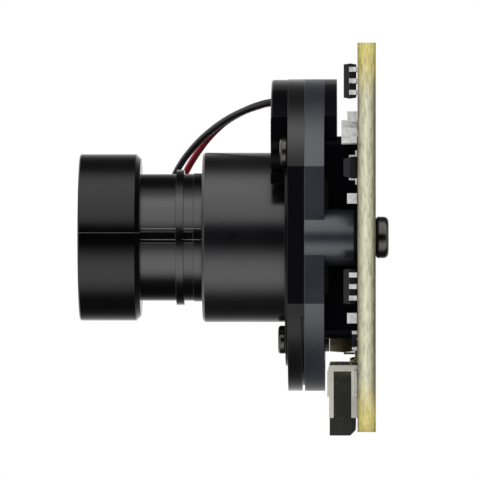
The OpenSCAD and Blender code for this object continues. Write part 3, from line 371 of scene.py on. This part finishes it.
def rear_look(n, rounded):
    """Moulded grey-blue plastic with a fine satin grain; behind the plate, except on the lugs, black and less
    glossy: painted shade on the skirt in the plate's shadow, and the shaft pocket's own black.
    """
    v = n.place()
    x, y, z = n.split(v)
    fine = n.noise(v, 9.0, 4.0)
    broad = n.noise(v, 0.4, 2.0)
    grey = n.ramp(n.mix(0.7, fine, broad), [(0.3, rgb(0.014, 0.015, 0.022)), (0.7, rgb(0.023, 0.024, 0.036))])
    crown = 3.6
    # Painted shade behind the plate: the skirt there lies in the plate's shadow, so it gets black and little
    # sheen; the shaft pocket there is black of its own.
    behind = n.math("GREATER_THAN", x, SKIN - Z_PLATE)
    off_lug = n.math("GREATER_THAN", n.math("ABSOLUTE", z), LUG_R + SKIN)
    black = n.math("MULTIPLY", behind, off_lug)
    beside = n.math("GREATER_THAN", n.math("ABSOLUTE", y), crown)
    black_sheen = n.mix(beside, rgb(0.22, 0.22, 0.22), rgb(0.04, 0.04, 0.04))
    return {
        "Base Color": n.mix(black, grey, rgb(0.0035, 0.0035, 0.006)),
        "Specular IOR Level": n.mix(black, rgb(0.8, 0.8, 0.8), black_sheen),
        "Roughness": n.math("MULTIPLY_ADD", broad, 0.1, 0.27),
        "Normal": n.bump(fine, 0.006, 0.5, rounded),
    }


def front_look(n, rounded):
    """Moulded black plastic: the barrel's mount greyer and glossier than the plate, whose sheen is painted to
    grow toward its top and bottom as shading of its rounded shoulders.
    """
    v = n.place()
    x, y, z = n.split(v)
    fine = n.noise(v, 9.0, 4.0)
    broad = n.noise(v, 0.4, 2.0)
    mount = n.math("LESS_THAN", x, -Z_PAD - 2 * SKIN)
    # Painted sheen: the plate's specular rises from its middle toward its top and bottom, standing in for the
    # shading over its rounded shoulders.
    off_centre = n.math("MULTIPLY", n.math("ABSOLUTE", z), 1 / HALF_BOARD)
    painted_shoulder_sheen = n.ramp(off_centre, [(0.37, 0.2), (0.58, 0.62)], "EASE")
    return {
        "Base Color": n.ramp(fine, [(0.3, rgb(0.0022, 0.0022, 0.003)), (0.7, rgb(0.0042, 0.0042, 0.0056))]),
        "Specular IOR Level": n.mix(mount, painted_shoulder_sheen, rgb(0.72, 0.72, 0.72)),
        "Roughness": n.math("MULTIPLY_ADD", broad, 0.08, 0.18),
        "Normal": n.bump(fine, 0.005, 0.45, rounded),
    }


looks = {
    "board": surface("board", (0.1, 0.1, 0.06), spec=0.45, build=board_look),
    "holder_plastic": surface("holder_plastic", (0.006, 0.006, 0.0075), bevel=0.09, build=front_look),
    "holder_base": surface("holder_plastic_rear", (0.02, 0.021, 0.03), bevel=0.09, build=rear_look),
    "cover_plastic": surface("cover_plastic", (0.004, 0.004, 0.005), bevel=0.08, build=cover_look),
    "screw_steel": surface("screw_steel", (0.02, 0.018, 0.012), spec=0.75, bevel=0.09, build=screw_look),
    "motor_steel": surface("motor_steel", (0.5, 0.5, 0.51), metal=1.0, bevel=0.04,
                           build=grained((0.5, 0.5, 0.51), 0.32, 0.2, 0.006)),
    "magnet": surface("magnet", (0.25, 0.25, 0.26), metal=1.0, bevel=0.05,
                      build=grained((0.25, 0.25, 0.26), 0.25, 0.15, 0.004)),
    "lever_plastic": surface("lever_plastic", (0.75, 0.74, 0.7), bevel=0.05,
                             build=grained((0.75, 0.74, 0.7), 0.4, 0.2, 0.005, tint=1.06)),
    "coil_copper": surface("coil_copper", (0.6, 0.28, 0.12), rough=0.3, metal=0.9, build=winding_look),
    "bobbin_plastic": surface("bobbin_plastic", (0.78, 0.75, 0.66), bevel=0.04,
                              build=grained((0.78, 0.75, 0.66), 0.45, 0.2, 0.005, tint=1.06)),
    "tinned_metal": surface("tinned_metal", (0.85, 0.85, 0.83), metal=0.15, spec=0.8, bevel=0.08,
                            build=solder_look),
    "gold_metal": surface("gold_metal", (0.75, 0.6, 0.3), metal=0.8, bevel=0.03,
                          build=grained((0.8, 0.66, 0.36), 0.25, 0.1, 0.004, tint=1.15)),
    "ir_cut_glass": coated_glass("ir_cut_glass", (0.62, 0.92, 0.88),
                                 ((0.95, 0.25, 0.2), (0.95, 0.5, 0.3)), 3.0),
    "clear_glass": coated_glass("clear_glass", (0.96, 0.98, 0.98), ((0.55, 0.8, 0.6), (0.5, 0.6, 0.9))),
    "lens_glass": coated_glass("lens_glass", (0.93, 0.95, 0.97), ((0.35, 0.55, 0.4), (0.45, 0.3, 0.75)), 1.2),
    "lens_metal": surface("lens_metal", (0.002, 0.002, 0.003), bevel=0.07, build=barrel_look),
    "lens_black": surface("lens_black", (0.004, 0.004, 0.005), spec=0.4, bevel=0.05,
                          build=grained((0.004, 0.004, 0.005), 0.5, 0.08, 0.01)),
    "sensor_ceramic": surface("sensor_ceramic", (0.03, 0.03, 0.033),
                              build=grained((0.03, 0.03, 0.033), 0.6, 0.15, 0.01)),
    "sensor_silicon": surface("sensor_silicon", (0.09, 0.06, 0.14), metal=0.6,
                              build=grained((0.1, 0.06, 0.15), 0.18, 0.5, 0.002, tint=1.5)),
    "connector_ivory": surface("connector_ivory", (0.62, 0.6, 0.52), spec=0.4, bevel=0.06,
                               build=grained((0.62, 0.605, 0.53), 0.42, 0.25, 0.006, tint=1.06)),
    "connector_black": surface("connector_black", (0.016, 0.015, 0.015), spec=0.5, bevel=0.07,
                               build=grained((0.014, 0.013, 0.013), 0.42, 0.14, 0.008, tint=1.3)),
    "chip_black": surface("chip_black", (0.008, 0.008, 0.009), spec=0.4, bevel=0.05,
                          build=grained((0.007, 0.007, 0.008), 0.52, 0.06, 0.012)),
    "capacitor_ceramic": surface("capacitor_ceramic", (0.36, 0.25, 0.15), bevel=0.05,
                                 build=grained((0.36, 0.25, 0.15), 0.38, 0.1, 0.008, tint=1.15)),
    "resistor_black": surface("resistor_black", (0.012, 0.012, 0.014), bevel=0.03,
                              build=grained((0.012, 0.012, 0.014), 0.3, 0.1, 0.005)),
    "ferrite": surface("ferrite", (0.012, 0.011, 0.011), bevel=0.06,
                       build=grained((0.012, 0.011, 0.011), 0.5, 0.08, 0.014)),
    "tantalum_resin": surface("tantalum_resin", (0.52, 0.44, 0.26), spec=0.5, bevel=0.06,
                              build=grained((0.52, 0.45, 0.28), 0.45, 0.12, 0.008, tint=1.12)),
    "wire_black": surface("wire_black", (0.004, 0.005, 0.0045), spec=0.45,
                          build=grained((0.004, 0.005, 0.0045), 0.3, 0.2, 0.006)),
    "wire_red": surface("wire_red", (0.42, 0.012, 0.03), spec=0.45,
                        build=grained((0.42, 0.013, 0.032), 0.32, 0.2, 0.006, tint=1.1)),
}

slots = {s["node"]: s["material_slot"] for s in frame["record"]["subparts"]}
for name, node in nodes.items():
    look = looks.get(name, looks[slots[name]])
    for i in range(max(1, len(node.data.materials))):
        if i < len(node.data.materials):
            node.data.materials[i] = look
        else:
            node.data.materials.append(look)

# ---- pieces ------------------------------------------------------------------------


def dress(piece, look, body="camera_body"):
    """Gives a new piece its material and the body that it rides on."""
    piece.data.materials.append(looks[look])
    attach(piece, body)
    return piece


# The motor's wires: length in metres, and part.scad's points as (up, side, forward) from the rotor's
# axis and the front plate
WIRES = {
    "black": (0.0345, [
        (2.1, 2.3, 0.74), (2.1, 2.3, 1.19), (2, 2.35, 1.89), (1.75, 2.65, 2.79), (1.4, 3.2, 3.69),
        (1, 4, 4.59), (0.45, 4.95, 5.59), (-0.25, 5.95, 6.59), (-1.05, 6.9, 7.54), (-2, 7.75, 8.44),
        (-3.05, 8.5, 9.24), (-4.25, 9.15, 9.89), (-5.6, 9.75, 10.34), (-7.05, 10.3, 10.54),
        (-8.55, 10.8, 10.49), (-10.05, 11.3, 10.09), (-11.45, 11.8, 9.29), (-12.65, 12.3, 8.14),
        (-13.65, 12.8, 6.74), (-14.4, 13.3, 5.19), (-14.9, 13.7, 3.59), (-15.2, 13.95, 2.09),
        (-15.3, 14.1, 0.79), (-15.35, 14.1, -0.21), (-15.35, 14.1, -1.11), (-15.35, 14.1, -2.01),
    ]),
    "red": (0.0322, [
        (2, 3, 0.74), (2, 3, 1.19), (1.95, 3.05, 1.84), (1.7, 3.4, 2.74), (1.4, 4.05, 3.64),
        (1, 4.9, 4.49), (0.5, 5.85, 5.34), (-0.15, 6.8, 6.14), (-0.9, 7.65, 6.89), (-1.7, 8.4, 7.54),
        (-2.55, 9, 8.14), (-3.45, 9.45, 8.69), (-4.45, 9.85, 9.19), (-5.55, 10.2, 9.54),
        (-6.75, 10.6, 9.74), (-8, 11, 9.69), (-9.25, 11.4, 9.39), (-10.45, 11.85, 8.79),
        (-11.55, 12.35, 7.84), (-12.45, 12.85, 6.59), (-13.2, 13.35, 5.09), (-13.7, 13.75, 3.49),
        (-14, 14, 1.99), (-14.1, 14.1, 0.49), (-14.1, 14.1, -0.81), (-14.1, 14.1, -2.01),
    ]),
}
WIRE_D = 0.58 * MM
for tone, (length, points) in WIRES.items():
    curve = bpy.data.curves.new(tone + "_lead", "CURVE")
    curve.dimensions = "3D"
    curve.bevel_depth = WIRE_D / 2
    curve.bevel_resolution = 5
    curve.resolution_u = 6
    curve.use_fill_caps = True
    line = curve.splines.new("BEZIER")
    line.bezier_points.add(len(points) - 1)
    for knot, (up, side, forward) in zip(line.bezier_points, points):
        knot.co = at(up + ROTOR_UP, side, forward + Z_FRONT)
        knot.handle_left_type = knot.handle_right_type = "AUTO"
    lead = bpy.data.objects.new(tone + "_lead", curve)
    scene.collection.objects.link(lead)
    dress(lead, "wire_" + tone)
    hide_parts(tone + "_wire")

# ---- floor and light ---------------------------------------------------------------


def floor_look():
    """White to the camera from above and clear from below, so the part floats on a plain pale ground."""
    m = bpy.data.materials.new("floor")
    m.use_nodes = True
    n = Nodes(m.node_tree)
    out = n.add("OutputMaterial")
    white = n.add("Emission")
    white.inputs["Color"].default_value = rgb(1, 1, 1)
    clear = n.add("BsdfTransparent")
    mixer = n.add("MixShader")
    n.link(n.add("NewGeometry").outputs["Backfacing"], mixer.inputs[0])
    n.link(white.outputs[0], mixer.inputs[1])
    n.link(clear.outputs[0], mixer.inputs[2])
    n.link(mixer.outputs[0], out.inputs[0])
    return m


bm = bmesh.new()
bmesh.ops.create_grid(bm, x_segments=1, y_segments=1, size=1.0)
mesh = bpy.data.meshes.new("floor")
bm.to_mesh(mesh)
bm.free()
floor = bpy.data.objects.new("floor", mesh)
scene.collection.objects.link(floor)
FLOOR_Z = -60 * MM
floor.location = (0, 0, FLOOR_Z)
mesh.materials.append(floor_look())
floor.visible_diffuse = floor.visible_glossy = floor.visible_transmission = False
floor.visible_shadow = False

# The studio: a long softbox above, a second one below, darkness on the camera's own side
# and a white ground behind, as brightness against the angle round the X axis.
# -180 and 180 degrees point away from the camera, 0 toward it and 90 up.
STUDIO = [
    (-180, 1.0), (-166, 0.9), (-154, 0.5), (-143, 0.25), (-130, 0.07), (-112, 0.04), (-97, 0.06), (-86, 0.2),
    (-74, 0.95), (-61, 1.65), (-47, 1.75), (-34, 1.5), (-24, 0.85), (-15, 0.2), (-9, 0.0),
    (9, 0.0), (15, 0.1), (23, 1.1), (33, 1.55), (46, 1.6), (60, 1.8), (74, 1.85), (86, 1.5),
    (96, 0.8), (104, 0.25), (114, 0.08), (132, 0.06), (146, 0.18), (156, 0.4), (168, 0.8), (180, 1.0),
]
world = bpy.data.worlds.new("studio")
scene.world = world
world.use_nodes = True
n = Nodes(world.node_tree)
x, y, z = n.split(n.add("TexCoord").outputs["Generated"])
angle = n.math("ARCTAN2", z, n.math("MULTIPLY", y, -1.0))
turn = n.math("MULTIPLY_ADD", angle, 0.5 / math.pi, 0.5)
brightness = n.ramp(turn, [((a + 180) / 360, v / 2) for a, v in STUDIO])
right = n.ramp(x, [(0.72, 0.0), (0.93, 1.0)], "EASE")
left = n.ramp(n.math("MULTIPLY", x, -1.0), [(0.3, 0.0), (0.55, 1.0)], "EASE")
behind_board, before_lens = rgb(0.3, 0.3, 0.3), rgb(0.6, 0.6, 0.6)
light = n.mix(left, n.mix(right, brightness, behind_board), before_lens)
camera_ray = n.add("LightPath").outputs["Is Camera Ray"]
studio = n.add("Background")
n.link(light, studio.inputs["Color"])
studio.inputs["Strength"].default_value = 2.0
paper = n.add("Background")
paper.inputs["Color"].default_value = rgb(1, 1, 1)
mixer = n.add("MixShader")
n.link(camera_ray, mixer.inputs[0])
n.link(studio.outputs[0], mixer.inputs[1])
n.link(paper.outputs[0], mixer.inputs[2])
n.link(mixer.outputs[0], n.add("OutputWorld").inputs[0])
